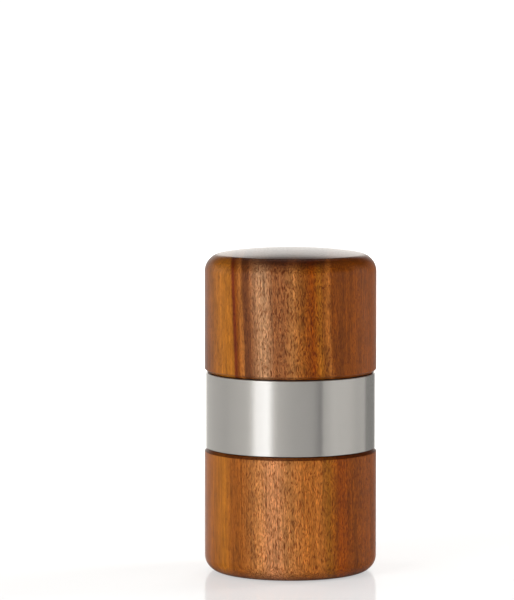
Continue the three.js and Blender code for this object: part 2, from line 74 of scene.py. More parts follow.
def outline(corners):
    """The points of a closed outline whose corners are (radius, height) or (radius, height, rounding).

    A point just before and after each rounding keeps the straight sides' shading straight."""
    points = []
    for i, (r, z, *rounding) in enumerate(corners):
        corner = Vector((r, z))
        if not rounding:
            points.append(corner)
            continue
        back = (Vector(corners[i - 1][:2]) - corner).normalized()
        ahead = (Vector(corners[(i + 1) % len(corners)][:2]) - corner).normalized()
        half = back.angle(ahead) / 2
        reach = rounding[0] / math.tan(half)
        centre = corner + (back + ahead).normalized() * rounding[0] / math.sin(half)
        start = corner + back * reach - centre
        end = corner + ahead * reach - centre
        steps = arc_steps + round(arc_steps * rounding[0])
        points.append(corner + back * (reach + margin))
        points += [centre + start.slerp(end, step / steps) * rounding[0] for step in range(steps + 1)]
        points.append(corner + ahead * (reach + margin))
    return points


def smoothed(mesh):
    """Shades a mesh smooth but for the edges that are sharp on the real piece."""
    mesh.shade_smooth()
    mesh.set_sharp_from_angle(angle=crease_angle)


def made(name, shape):
    """A piece from its mesh in work, faces outward."""
    bmesh.ops.recalc_face_normals(shape, faces=shape.faces)
    mesh = bpy.data.meshes.new(name)
    shape.to_mesh(mesh)
    shape.free()
    smoothed(mesh)
    piece = bpy.data.objects.new(name, mesh)
    bpy.context.scene.collection.objects.link(piece)
    return piece


def turned(name, points, steps=wood_steps, radius_at=None):
    """A turned or moulded round piece: a closed outline in millimetres, spun about Z."""
    spun = bmesh.new()
    angles = [2 * math.pi * step / steps for step in range(steps)]
    rings = []
    for r, z in points:
        if r == 0:
            rings.append([spun.verts.new((0, 0, z * mm))] * steps)
            continue
        radii = [radius_at(r, z, a) if radius_at else r for a in angles]
        rings.append([spun.verts.new((s * mm * math.cos(a), s * mm * math.sin(a), z * mm))
                      for s, a in zip(radii, angles)])
    for ring, following in zip(rings, rings[1:] + rings[:1]):
        for i in range(steps):
            j = (i + 1) % steps
            face = list(dict.fromkeys([ring[i], ring[j], following[j], following[i]]))
            if len(face) > 2:
                spun.faces.new(face)
    return made(name, spun)


def linear(hex_colour):
    """An sRGB hex colour as linear red, green, blue and alpha."""
    parts = [int(hex_colour[i : i + 2], 16) / 255 for i in (1, 3, 5)]
    return [c / 12.92 if c <= 0.04045 else ((c + 0.055) / 1.055) ** 2.4 for c in parts] + [1]


def add(tree, kind, links=None, stops=None, **settings):
    """One node with its settings, its inputs as values or as links, and its ramp's stops."""
    node = tree.nodes.new(kind)
    for name, value in settings.items():
        setattr(node, name, value)
    for name, value in (links or {}).items():
        socket = next(s for s in node.inputs if name in (s.identifier, s.name))
        several = isinstance(value, list) and isinstance(value[0], bpy.types.NodeSocket)
        for source in value if several else [value]:
            if isinstance(source, bpy.types.NodeSocket):
                tree.links.new(source, socket)
            else:
                socket.default_value = source
    for i, (place, colour) in enumerate(stops or []):
        elements = node.color_ramp.elements
        stop = elements.new(place) if i > 1 else elements[i]
        stop.position = place
        stop.color = linear(colour) if isinstance(colour, str) else (colour, colour, colour, 1)
    return {key: socket for socket in node.outputs for key in (socket.name, socket.identifier)}


def finish_named(name):
    """A new material, its empty node tree and the place on the piece in millimetres."""
    material = bpy.data.materials.new(name)
    material.use_nodes = True
    tree = material.node_tree
    tree.nodes.clear()
    place = add(tree, "ShaderNodeMapping", {"Vector": add(tree, "ShaderNodeTexCoord")["Object"],
                                            "Scale": (1 / mm, 1 / mm, 1 / mm)})["Vector"]
    return material, tree, place


def grain(tree, place, size, detail, least, most, low=0.3, high=0.7):
    """A value that wavers with a grain of so many millimetres along X, Y and Z."""
    scaled = add(tree, "ShaderNodeMapping", {"Vector": place, "Scale": [1 / s for s in size]})["Vector"]
    wavering = add(tree, "ShaderNodeTexNoise", {"Vector": scaled, "Scale": 1, "Detail": detail})["Fac"]
    return add(tree, "ShaderNodeMapRange", {"Value": wavering, "From Min": low, "From Max": high,
                                            "To Min": least, "To Max": most})["Result"]


def varied(tree, colour, place, size, detail, least, most):
    """A colour made darker and lighter by such a grain."""
    factor = grain(tree, place, size, detail, least, most)
    return add(tree, "ShaderNodeMix", {"Factor_Float": 1.0, "A_Color": colour, "B_Color": factor},
               data_type="RGBA", blend_type="MULTIPLY")["Result_Color"]


def oiled_acacia(name, streaks, figure, least_end_grain_and_shade_share, middle, lean, drift):
    """Acacia: streaks along the growth rings, fibres, short open pores, dark end grain with painted shade,
    satin oil.
    """
    wander_size = (16, 16, 45)
    slant_size = (4, 4, 5)
    bundle_size = (1.2, 1.2, 45)
    fibre_size = (0.42, 0.42, 12)
    patch_size = (6, 6, 5)
    tick_size = (0.3, 0.3, 1.5)
    pore_size = (0.26, 0.26, 1.7)
    underside_share = 0.6
    crown_start = 0.9
    crown_full = 0.985
    material, tree, place = finish_named(name)
    pith = (pith_distance - middle * lean, 0, drift)
    blank = add(tree, "ShaderNodeMapping", {"Vector": place, "Rotation": (0, lean, 0),
                                            "Location": pith})["Vector"]

    def pushed(size, amount):
        """The blank, its fibres wavering by so many millimetres with a noise of a given grain."""
        scaled = add(tree, "ShaderNodeMapping", {"Vector": blank, "Scale": [1 / s for s in size]})["Vector"]
        push = add(tree, "ShaderNodeTexNoise", {"Vector": scaled, "Scale": 1, "Detail": 1})["Color"]
        centred = add(tree, "ShaderNodeVectorMath", {"Vector": push, "Vector_001": (0.5, 0.5, 0.5)},
                      operation="SUBTRACT")["Vector"]
        return add(tree, "ShaderNodeVectorMath", {"Vector": centred, "Vector_001": (amount, amount, 0),
                                                  "Vector_002": blank}, operation="MULTIPLY_ADD")["Vector"]

    def ring_share(x):
        """Where the ring that meets the front of the piece at a place across it comes on the ramps."""
        ring_radius = math.sqrt(pith_distance**2 + 2 * pith_distance * x + wood_radius**2)
        return min(1, (ring_radius - pith_distance) / (2 * wood_radius) + 0.5)

    waved = pushed(wander_size, 2.4)
    flat = add(tree, "ShaderNodeVectorMath", {"Vector": waved, "Vector_001": (1, 1, 0)},
               operation="MULTIPLY")["Vector"]
    ring = add(tree, "ShaderNodeVectorMath", {"Vector": flat}, operation="LENGTH")["Value"]
    share = add(tree, "ShaderNodeMapRange", {"Value": ring, "From Min": pith_distance - wood_radius,
                                             "From Max": pith_distance + wood_radius})["Result"]
    colour = add(tree, "ShaderNodeValToRGB", {"Fac": share},
                 stops=[(ring_share(x), tone) for x, tone in streaks])["Color"]
    figured = add(tree, "ShaderNodeValToRGB", {"Fac": share},
                  stops=[(ring_share(x), part) for x, part in figure])["Color"]
    colour = varied(tree, colour, waved, bundle_size, 2, 0.82, 1.18)
    colour = varied(tree, colour, waved, fibre_size, 2, 0.76, 1.24)
    colour = varied(tree, colour, blank, patch_size, 2, 0.9, 1.1)

    slanted = pushed(slant_size, 2)
    ticks = add(tree, "ShaderNodeMath", {"Value": grain(tree, slanted, tick_size, 1, -0.42, 0.42),
                                         "Value_001": figured, "Value_002": 1.0},
                operation="MULTIPLY_ADD")["Value"]
    colour = add(tree, "ShaderNodeMix", {"Factor_Float": 1.0, "A_Color": colour, "B_Color": ticks},
                 data_type="RGBA", blend_type="MULTIPLY")["Result_Color"]
    pits = grain(tree, slanted, pore_size, 1, 0, 1, 0.53, 0.62)
    pores = add(tree, "ShaderNodeMath", {"Value": pits, "Value_001": figured},
                operation="MULTIPLY")["Value"]
    colour = add(tree, "ShaderNodeMix", {"Factor_Float": pores, "A_Color": colour,
                                         "B_Color": linear("#a5826c")},
                 data_type="RGBA", blend_type="MULTIPLY")["Result_Color"]

    # Faces that look up, and at a smaller share faces that look down, are darkened: partly the end grain's own darker tone,     partly painted shade, strongest on the crown's front rounding and the base cup's top chamfer.
    normal = add(tree, "ShaderNodeNewGeometry")["Normal"]
    facing = add(tree, "ShaderNodeSeparateXYZ", {"Vector": normal})["Z"]
    downward = add(tree, "ShaderNodeMath", {"Value": facing, "Value_001": -underside_share},
                   operation="MULTIPLY")["Value"]
    upright = add(tree, "ShaderNodeMath", {"Value": facing, "Value_001": downward},
                  operation="MAXIMUM")["Value"]
    end = add(tree, "ShaderNodeMapRange", {"Value": upright, "From Min": 0.2, "From Max": 0.8})["Result"]
    end_grain_and_shade_share = add(tree, "ShaderNodeMath", {"Value": figured, "Value_001": least_end_grain_and_shade_share},
                     operation="MAXIMUM")["Value"]
    end_grain_and_painted_shade = add(tree, "ShaderNodeMath", {"Value": end, "Value_001": end_grain_and_shade_share},
                 operation="MULTIPLY")["Value"]
    colour = add(tree, "ShaderNodeMix", {"Factor_Float": end_grain_and_painted_shade, "A_Color": colour,
                                         "B_Color": linear("#6a4834")},
                 data_type="RGBA", blend_type="MULTIPLY")["Result_Color"]

    level = add(tree, "ShaderNodeMapRange", {"Value": upright, "From Min": crown_start,
                                             "From Max": crown_full, "To Min": 0.15,
                                             "To Max": 0.6})["Result"]
    polish = add(tree, "ShaderNodeMapRange", {"Value": upright, "From Min": crown_start,
                                              "From Max": crown_full, "To Min": 0.29,
                                              "To Max": 0.11})["Result"]
    rough = add(tree, "ShaderNodeMath", {"Value": pores, "Value_001": 0.1, "Value_002": polish},
                operation="MULTIPLY_ADD")["Value"]
    depth = add(tree, "ShaderNodeMapRange", {"Value": end, "To Min": 0.3, "To Max": 0.03})["Result"]
    bump = add(tree, "ShaderNodeBump", {"Height": pores, "Strength": depth, "Distance": 0.04 * mm},
               invert=True)["Normal"]
    surface = add(tree, "ShaderNodeBsdfPrincipled", {"Base Color": colour, "Roughness": rough, "IOR": 1.5,
                                                     "Normal": bump, "Specular IOR Level": level})["BSDF"]
    add(tree, "ShaderNodeOutputMaterial", {"Surface": surface})
    return material


honey = "#a06018"
amber = "#b06828"
# Straw and sand are partly painted highlight: they stand where the key light's strip shines on the wood.
straw_and_painted_highlight = "#c08050"
sand_and_painted_highlight = "#b08058"
tan = "#b87840"
russet = "#a06028"
chestnut = "#905830"
cinnamon = "#905018"
rust = "#984808"
walnut = "#804008"
umber = "#683818"
oxblood = "#682808"
smoke = "#603018"
pith_distance = 150
cup_high = span("base_cup")[1]
liner_low, liner_high = span("base_liner")
wood_radius = cup_high.x
wood_bore = liner_high.x + fixed_gap
dish_radius = wood_radius - foot_rounding - foot_width
base_cup = turned("base_cup_turned", outline([
    (0, dish_depth),
    (dish_radius, dish_depth, dish_depth),
    (dish_radius + dish_depth, 0),
    (wood_radius, 0, foot_rounding),
    (wood_radius, cup_high.z - chamfer, arris),
    (wood_radius - chamfer, cup_high.z, arris),
    (wood_bore, cup_high.z, bore_arris),
    (wood_bore, liner_low.z - seat_gap),
    (0, liner_low.z - seat_gap),
]))

# Oiled acacia: pale orange sapwood at the left, brown heartwood streaks, and short dark pores with pale
# ones between them that give the front its lively figure. The pale straw and tan streaks a little left of
# the middle are partly a painted highlight, where the key light's strip shines on the satin.
base_acacia = oiled_acacia(
    "oiled_acacia_base",
    streaks=[(-25, walnut), (-19, honey), (-17, cinnamon), (-14.5, cinnamon), (-12, russet), (-9, tan),
             (-6, straw_and_painted_highlight), (-3.5, straw_and_painted_highlight), (-0.5, tan), (4.5, amber), (9, amber), (11, honey), (14, rust),
             (18, walnut), (25, walnut)],
    figure=[(-20, 0.2), (-15, 0.45), (-10, 0.85), (10, 0.75), (14, 0.7), (25, 0.65)],
    # The base cup's faces that look up are darkened almost fully: end grain and painted shade under the
    # steel band.
    least_end_grain_and_shade_share=0.95, middle=cup_high.z / 2, lean=0.02, drift=17)
base_cup.data.materials.append(base_acacia)
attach(base_cup, "base")
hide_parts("base_cup")

# Base liner. A thin moulded cup of grey nylon, pressed into the wood: it keeps oil and gratings off
# the end grain and gives the rubber seal a true bore.

moulded_steps = 144
moulded_rounding = 0.5
moulded_arris = 0.15
liner_wall = 1.1
liner_floor = 1.2
liner_corner = 2.2
gate_radius = 1
gate_depth = 0.25
liner_bore = liner_high.x - liner_wall
liner_inside = liner_low.z + liner_floor
base_liner = turned("base_liner_moulded", outline([
    (0, liner_low.z),
    (liner_high.x, liner_low.z, liner_corner),
    (liner_high.x, liner_high.z, moulded_arris),
    (liner_bore, liner_high.z, moulded_rounding),
    (liner_bore, liner_inside, liner_corner - liner_wall),
    (gate_radius + gate_depth, liner_inside),
    (gate_radius, liner_inside - gate_depth),
    (0, liner_inside - gate_depth),
]), moulded_steps)


def moulded_plastic(name, tone, smooth, rough, ior):
    """A moulded plastic: the mould's fine spark texture, faint flow clouds and a few pale rub marks.

    The real spark texture is too fine to show, so it is drawn a few times as coarse."""
    material, tree, place = finish_named(name)
    spark_size = (0.32, 0.32, 0.32)
    cloud_size = (7, 7, 4)
    rub_size = (6, 6, 0.5)
    colour = varied(tree, linear(tone), place, spark_size, 2, 0.93, 1.07)
    colour = varied(tree, colour, place, cloud_size, 2, 0.93, 1.08)
    rubs = grain(tree, place, rub_size, 3, 0, 0.07, 0.6, 0.75)
    colour = add(tree, "ShaderNodeMix", {"Factor_Float": rubs, "A_Color": colour,
                                         "B_Color": linear("#b8b4ac")}, data_type="RGBA")["Result_Color"]
    bump = add(tree, "ShaderNodeBump", {"Height": grain(tree, place, spark_size, 2, 0, 1), "Strength": 0.14,
                                        "Distance": 0.03 * mm})["Normal"]
    gloss = grain(tree, place, cloud_size, 2, smooth, rough)
    surface = add(tree, "ShaderNodeBsdfPrincipled", {"Base Color": colour, "Roughness": gloss, "IOR": ior,
                                                     "Normal": bump})["BSDF"]
    add(tree, "ShaderNodeOutputMaterial", {"Surface": surface})
    return material


# Grey nylon: an even dark grey with a soft, slightly waxy gloss.
grey_nylon = moulded_plastic("moulded_grey_nylon", "#3f4043", 0.42, 0.52, 1.53)
base_liner.data.materials.append(grey_nylon)
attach(base_liner, "base")
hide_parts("base_liner")

# Outlet ring. The moulded underside of the mill: a flange that stands on the cup, a spigot that plugs
# into the liner, and a collar whose three clips snap into windows of the housing.

spigot_wall = 2.2
outlet_thickness = 1.6
collar_wall = 1.3
housing_wall = 1.5
running_gap = 0.4
clip_count = 3
clip_width = 7
clip_height = 1.8
clip_reach = 1
clip_angle = math.pi / 6
seal_section = 1.5
seal_squeeze = 0.15
sliver = 0.0002 * mm


def groove(bore, height):
    """The four corners of the groove for a seal that grips a bore, from below."""
    wall = bore - running_gap
    floor = bore - seal_squeeze - seal_section - seat_gap
    half = seal_section / 2 + seat_gap
    return [(wall, height - half, moulded_arris), (floor, height - half, moulded_arris),
            (floor, height + half, moulded_arris), (wall, height + half, moulded_arris)]


def skinned(name, outlines):
    """A piece skinned over outlines of as many points in millimetres, closed at the first and last."""
    shape = bmesh.new()
    rings = [[shape.verts.new([c * mm for c in point]) for point in points] for points in outlines]
    shape.faces.new(rings[0])
    shape.faces.new(rings[-1])
    for near, far in zip(rings, rings[1:]):
        for i in range(len(near)):
            j = (i + 1) % len(near)
            shape.faces.new((near[i], near[j], far[j], far[i]))
    return made(name, shape)


def bar(name, points, width):
    """An outline in the radius and height plane, as a bar of a given width across the X axis."""
    return skinned(name, [[(r, y, z) for r, z in points] for y in (-width / 2, width / 2)])


def block(name, inner, outer, bottom, top, width):
    """The same with a rectangular outline."""
    return bar(name, [(inner, bottom), (outer, bottom), (outer, top), (inner, top)], width)


def ring_tree(operation):
    """A tree that sets a tool round the axis and joins it to the piece, cuts it out or shows it alone."""
    tree = bpy.data.node_groups.new("round_the_axis_" + operation.lower(), "GeometryNodeTree")
    sockets = {"Piece": "NodeSocketGeometry", "Tool": "NodeSocketObject", "Count": "NodeSocketInt",
               "First Angle": "NodeSocketFloat", "Material": "NodeSocketMaterial"}
    for name, kind in sockets.items():
        tree.interface.new_socket(name, in_out="INPUT", socket_type=kind)
    tree.interface.new_socket("Whole", in_out="OUTPUT", socket_type="NodeSocketGeometry")
    given = add(tree, "NodeGroupInput")
    tool = add(tree, "GeometryNodeObjectInfo", {"Object": given["Tool"]})["Geometry"]
    points = add(tree, "GeometryNodePoints", {"Count": given["Count"]})["Geometry"]
    step = add(tree, "ShaderNodeMath", {"Value": 2 * math.pi, "Value_001": given["Count"]},
               operation="DIVIDE")["Value"]
    index = add(tree, "GeometryNodeInputIndex")["Index"]
    turn = add(tree, "ShaderNodeMath", {"Value": index, "Value_001": step,
                                        "Value_002": given["First Angle"]},
               operation="MULTIPLY_ADD")["Value"]
    rotation = add(tree, "ShaderNodeCombineXYZ", {"Z": turn})["Vector"]
    tools = add(tree, "GeometryNodeInstanceOnPoints", {"Points": points, "Instance": tool,
                                                       "Rotation": rotation})["Instances"]
    whole = add(tree, "GeometryNodeRealizeInstances", {"Geometry": tools})["Geometry"]
    if operation == "UNION":
        whole = add(tree, "GeometryNodeMeshBoolean", {"Mesh 2": [given["Piece"], whole]},
                    operation=operation, solver="MANIFOLD")["Mesh"]
    if operation == "DIFFERENCE":
        whole = add(tree, "GeometryNodeMeshBoolean", {"Mesh 1": given["Piece"], "Mesh 2": whole},
                    operation=operation, solver="MANIFOLD")["Mesh"]
    whole = add(tree, "GeometryNodeSetMaterial", {"Geometry": whole,
                                                  "Material": given["Material"]})["Geometry"]
    add(tree, "NodeGroupOutput", {"Whole": whole})
    return tree


ring_trees = {operation: ring_tree(operation) for operation in ("UNION", "DIFFERENCE", "ALONE")}


def worked(piece, tree, inputs):
    """Works a node tree into the piece's own mesh and clears the slivers that its cuts leave."""
    modifier = piece.modifiers.new(tree.name, "NODES")
    modifier.node_group = tree
    for item in tree.interface.items_tree:
        if item.in_out == "INPUT" and item.name in inputs:
            modifier[item.identifier] = inputs[item.name]
    evaluated = piece.evaluated_get(bpy.context.evaluated_depsgraph_get())
    mesh = bpy.data.meshes.new_from_object(evaluated)
    piece.modifiers.clear()
    cut = bmesh.new()
    cut.from_mesh(mesh)
    bmesh.ops.dissolve_degenerate(cut, dist=sliver, edges=cut.edges)
    cut.to_mesh(mesh)
    cut.free()
    piece.data = mesh
    smoothed(mesh)


def around(piece, operation, tool, count, material, first_angle=0.0):
    """Joins a tool to the piece, or cuts it out, at places evenly spaced round Z."""
    worked(piece, ring_trees[operation], {"Tool": tool, "Count": count, "First Angle": first_angle,
                                          "Material": material})
    bpy.data.objects.remove(tool)


# Black nylon, glass filled: near black, matt, with the grey bloom of its fibres.
black_nylon = moulded_plastic("moulded_black_nylon", "#222224", 0.5, 0.62, 1.53)
outlet_low, outlet_high = span("outlet_ring")
base_seal_low, base_seal_high = span("base_seal")
housing_low, housing_high = span("housing")
outlet_bottom = cup_high.z + seat_gap
outlet_top = outlet_bottom + outlet_thickness
housing_bore = housing_high.x - housing_wall
collar_radius = housing_bore - fixed_gap
collar_bore = collar_radius - collar_wall
spigot_radius = liner_bore - running_gap
spigot_bore = spigot_radius - spigot_wall
outlet_ring = turned("outlet_ring_moulded", outline([
    (spigot_bore, outlet_low.z, moulded_arris),
    (spigot_radius, outlet_low.z, moulded_rounding),
    *groove(liner_bore, (base_seal_low.z + base_seal_high.z) / 2),
    (spigot_radius, outlet_bottom),
    (housing_high.x, outlet_bottom, moulded_arris),
    (housing_high.x, outlet_top, moulded_arris),
    (collar_radius, outlet_top),
    (collar_radius, outlet_high.z, moulded_arris),
    (collar_bore, outlet_high.z, moulded_arris),
    (collar_bore, outlet_top),
    (spigot_bore, outlet_top, moulded_arris),
]), moulded_steps)
clip = bar("clip", [
    (collar_bore + collar_wall / 2, outlet_high.z - clip_height),
    (collar_radius + clip_reach, outlet_high.z - clip_height),
    (collar_radius, outlet_high.z),
    (collar_bore + collar_wall / 2, outlet_high.z),
], clip_width)
around(outlet_ring, "UNION", clip, clip_count, black_nylon, clip_angle)
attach(outlet_ring, "mill_body")
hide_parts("outlet_ring")

# Base seal. A round ring of nitrile rubber that is rolled into the spigot's groove and grips the
# liner's bore, so that the mill holds in the cup until it is pulled.

seal_steps = 24


def moulded_seal(name, node):
    """A rubber ring of round section."""
    low, high = span(node)
    centre = Vector((high.x - seal_section / 2, (low.z + high.z) / 2))
    angles = [2 * math.pi * step / seal_steps for step in range(seal_steps)]
    section = [centre + Vector((math.cos(a), math.sin(a))) * seal_section / 2 for a in angles]
    return turned(name, section, moulded_steps)


def mottled(tree, place, size, low, high, tone, other):
    """Two tones that change over with a grain."""
    change = grain(tree, place, size, 3, 0, 1, low, high)
    return add(tree, "ShaderNodeMix", {"Factor_Float": change, "A_Color": linear(tone),
                                       "B_Color": linear(other)}, data_type="RGBA")["Result_Color"]


# Nitrile rubber: deep black and dull, with a dusting of pale release powder, drawn coarse enough to
# show.
nitrile_rubber, tree, place = finish_named("nitrile_rubber")
powder_size = (0.3, 0.3, 0.3)
colour = mottled(tree, place, powder_size, 0.55, 0.8, "#141415", "#3a3937")
bump = add(tree, "ShaderNodeBump", {"Height": grain(tree, place, powder_size, 3, 0, 1), "Strength": 0.16,
                                    "Distance": 0.03 * mm})["Normal"]
surface = add(tree, "ShaderNodeBsdfPrincipled", {"Base Color": colour, "Roughness": 0.72,
                                                 "Normal": bump})["BSDF"]
add(tree, "ShaderNodeOutputMaterial", {"Surface": surface})
base_seal = moulded_seal("base_seal_ring", "base_seal")
base_seal.data.materials.append(nitrile_rubber)
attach(base_seal, "mill_body")
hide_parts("base_seal")

# Housing. The moulded core of the mill: a wall that the steel band is pressed over, a bore that the
# barrel turns in, a shelf with six ribs between them, and bosses for the screws that hold the disc.

housing_arris = 0.25
shelf_thickness = 1.6
bore_wall = 1.8
rib_count = 6
rib_thickness = 1.2
disc_screw_count = 3
overshoot = 1
hole_clearance = 0.3
post_steps = 32
disc_low, disc_high = span("grating_disc")
clamp_low, clamp_high = span("disc_clamp")
washer_low, washer_high = span("glide_washer")
screw_low, screw_high = span("disc_screw_1")
tooth_rise = 0.75
disc_top = disc_high.z - tooth_rise
disc_screw_circle = (screw_low.x + screw_high.x) / 2
disc_screw_radius = 1
boss_radius = disc_high.x - disc_screw_circle
housing_inner_bore = disc_screw_circle - boss_radius - running_gap
bore_tube_radius = housing_inner_bore + bore_wall
bore_bottom = disc_top + seat_gap
shelf_top = washer_low.z - seat_gap
shelf_bottom = shelf_top - shelf_thickness
shelf_middle = (shelf_top + shelf_bottom) / 2
window_top = outlet_high.z + fixed_gap


def post(name, circle, radius, bottom, top):
    """An upright round bar at a radius on the X axis."""
    side = [Vector(p) for p in ((0, bottom), (radius, bottom), (radius, top), (0, top))]
    upright = turned(name, side, post_steps)
    upright.data.transform(Matrix.Translation((circle * mm, 0, 0)))
    return upright


def drilled(piece, material, count, circle, radius, bottom, top, first_angle=0.0):
    """Drills holes evenly spaced round Z, each with some clearance round what goes through it."""
    hole = post("hole", circle, radius + hole_clearance, bottom, top)
    around(piece, "DIFFERENCE", hole, count, material, first_angle)


housing = turned("housing_moulded", outline([
    (housing_inner_bore, bore_bottom, moulded_arris),
    (bore_tube_radius, bore_bottom, moulded_arris),
    (bore_tube_radius, shelf_bottom, moulded_rounding),
    (housing_bore, shelf_bottom, moulded_arris),
    (housing_bore, housing_low.z, moulded_arris),
    (housing_high.x, housing_low.z, moulded_arris),
    (housing_high.x, housing_high.z, housing_arris),
    (housing_bore, housing_high.z, housing_arris),
    (housing_bore, shelf_top, moulded_arris),
    (housing_inner_bore, shelf_top, moulded_arris),
]), moulded_steps)
boss = post("boss", disc_screw_circle, boss_radius, bore_bottom, shelf_middle)
around(housing, "UNION", boss, disc_screw_count, black_nylon)
rib = bar("rib", [
    (bore_tube_radius - bore_wall / 2, window_top + fixed_gap),
    (bore_tube_radius, window_top + fixed_gap),
    (housing_bore + housing_wall / 2, shelf_bottom - bore_wall),
    (housing_bore + housing_wall / 2, shelf_middle),
    (bore_tube_radius - bore_wall / 2, shelf_middle),
], rib_thickness)
around(housing, "UNION", rib, rib_count, black_nylon)
window = block("window", housing_bore - overshoot, housing_high.x + overshoot,
               outlet_high.z - clip_height - fixed_gap, window_top, clip_width + 2 * fixed_gap)
around(housing, "DIFFERENCE", window, clip_count, black_nylon, clip_angle)
drilled(housing, black_nylon, disc_screw_count, disc_screw_circle, disc_screw_radius,
        bore_bottom - overshoot, screw_high.z + fixed_gap)
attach(housing, "mill_body")
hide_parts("housing")

# Steel band. A short length of thin stainless tube pressed over the housing, its edges eased, brushed
# on a lathe so that the scratches run round it.

band_sheet = 0.8
band_edge = 0.25
sheet_arris = 0.1
band_low, band_high = span("steel_band")
steel_band = turned("steel_band_brushed", outline([
    (band_high.x - band_sheet, band_low.z, sheet_arris),
    (band_high.x, band_low.z, sheet_arris),
    (band_high.x, band_high.z, band_edge),
    (band_high.x - band_sheet, band_high.z, sheet_arris),
]))

# Brushed stainless steel: warm pale grey. The fine scratches run round the tube, so what it mirrors
# is drawn out up and down into soft upright stripes. The real ones are too fine to show, so they are
# drawn a few times as coarse.
scratch_size = (30, 30, 0.16)
stroke_size = (25, 25, 0.4)
brushed_steel, tree, place = finish_named("brushed_stainless_tube")
colour = varied(tree, linear("#d1cfcc"), place, scratch_size, 2, 0.988, 1.012)
rough = grain(tree, place, stroke_size, 1, 0.26, 0.27)
tangent = add(tree, "ShaderNodeTangent", direction_type="RADIAL", axis="Z")["Tangent"]
surface = add(tree, "ShaderNodeBsdfPrincipled", {"Base Color": colour, "Metallic": 1.0, "Tangent": tangent,
                                                 "Roughness": rough, "Anisotropic": 1.0,
                                                 "Anisotropic Rotation": 0.25})["BSDF"]
add(tree, "ShaderNodeOutputMaterial", {"Surface": surface})
steel_band.data.materials.append(brushed_steel)
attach(steel_band, "mill_body")
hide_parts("steel_band")

# Grating disc. Stainless sheet under the barrel. Each tooth is a scale punched up from the sheet over
# its own hole, its sharp mouth against the turn of the barrel. Its four rows stand close together,
# each set round from the last.

tooth_radius = 1.3
tooth_length = 3.2
tooth_sheet = 0.32
tooth_pitch = 4.3
tooth_rows = 4
tooth_row_pitch = 2.55
tooth_row_turn = 0.9
tooth_steps = 28
barrel_wall = 1.4
barrel_bore = housing_inner_bore - running_gap - barrel_wall


def tooth_cone(name, track, radius, length, mouth):
    """A cone lying half in the sheet along its track, its mouth forward, as high as the teeth."""
    cone = bmesh.new()
    axis = disc_top + tooth_rise - tooth_radius
    tip = cone.verts.new((track * mm, (mouth - length) * mm, axis * mm))
    rim = []
    for step in range(tooth_steps):
        angle = 2 * math.pi * step / tooth_steps
        across = track + radius * math.cos(angle)
        height = axis + radius * math.sin(angle)
        rim.append(cone.verts.new((across * mm, mouth * mm, height * mm)))
    cone.faces.new(rim)
    for i in range(tooth_steps):
        cone.faces.new((rim[i], rim[i - 1], tip))
    return made(name, cone)


def rolled_sheet(name, tone):
    """Stainless sheet: bright and cool, with the straight grain of the rolls and a few scuffs.

    The real grain is too fine to show, so it is drawn a few times as coarse."""
    material, tree, place = finish_named(name)
    roll_size = (14, 0.2, 0.8)
    scuff_size = (1.5, 5, 1.5)
    colour = varied(tree, linear(tone), place, roll_size, 3, 0.92, 1.06)
    scuffs = grain(tree, place, scuff_size, 4, 0, 0.14, 0.55, 0.75)
    rolled = grain(tree, place, roll_size, 3, 0.2, 0.32)
    rough = add(tree, "ShaderNodeMath", {"Value": scuffs, "Value_001": rolled})["Value"]
    bump = add(tree, "ShaderNodeBump", {"Height": grain(tree, place, roll_size, 3, 0, 1), "Strength": 0.1,
                                        "Distance": 0.02 * mm})["Normal"]
    surface = add(tree, "ShaderNodeBsdfPrincipled", {"Base Color": colour, "Metallic": 1.0,
                                                     "Roughness": rough, "Normal": bump})["BSDF"]
    add(tree, "ShaderNodeOutputMaterial", {"Surface": surface})
    return material


stainless_sheet = rolled_sheet("rolled_stainless_sheet", "#cfd0cf")
grating_disc = turned("grating_disc_punched", outline([
    (0, disc_low.z),
    (disc_high.x, disc_low.z, sheet_arris),
    (disc_high.x, disc_top, sheet_arris),
    (0, disc_top),
]), moulded_steps)
drilled(grating_disc, stainless_sheet, disc_screw_count, disc_screw_circle, disc_screw_radius,
        disc_low.z - overshoot, disc_top + overshoot)
tracks = [barrel_bore - tooth_radius - fixed_gap - row * tooth_row_pitch for row in range(tooth_rows)]
row_counts = [int(2 * math.pi * track / tooth_pitch) for track in tracks]
for row, (track, count) in enumerate(zip(tracks, row_counts)):
    scale = tooth_cone("scale", track, tooth_radius, tooth_length, 0)
    around(grating_disc, "UNION", scale, count, stainless_sheet, row * tooth_row_turn)
trim = turned("trim", outline([
    (0, disc_low.z - tooth_radius),
    (disc_high.x, disc_low.z - tooth_radius),
    (disc_high.x, disc_low.z),
    (0, disc_low.z),
]), moulded_steps)
around(grating_disc, "DIFFERENCE", trim, 1, stainless_sheet)
for row, (track, count) in enumerate(zip(tracks, row_counts)):
    hollow = tooth_cone("hollow", track, tooth_radius - tooth_sheet, tooth_length - tooth_sheet,
                        tooth_sheet)
    around(grating_disc, "DIFFERENCE", hollow, count, stainless_sheet, row * tooth_row_turn)
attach(grating_disc, "mill_body")
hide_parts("grating_disc")

# Disc clamp. A moulded grey ring that holds the disc up to the bosses, its bore flared so that the
# gratings fall clear.

clamp_flare = 0.9
clamp_bore = barrel_bore + running_gap
disc_clamp = turned("disc_clamp_moulded", outline([
    (clamp_bore + clamp_flare, clamp_low.z),
    (clamp_high.x, clamp_low.z, moulded_rounding),
    (clamp_high.x, clamp_high.z, moulded_arris),
    (clamp_bore, clamp_high.z),
    (clamp_bore, clamp_low.z + clamp_flare),
]), moulded_steps)
drilled(disc_clamp, grey_nylon, disc_screw_count, disc_screw_circle, disc_screw_radius,
        clamp_low.z - overshoot, clamp_high.z + overshoot)
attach(disc_clamp, "mill_body")
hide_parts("disc_clamp")

# Disc screws. Three small pan-head screws for plastic, zinc plated, driven up through clamp and disc
# into the bosses; a cross recess and a coarse rolled thread.

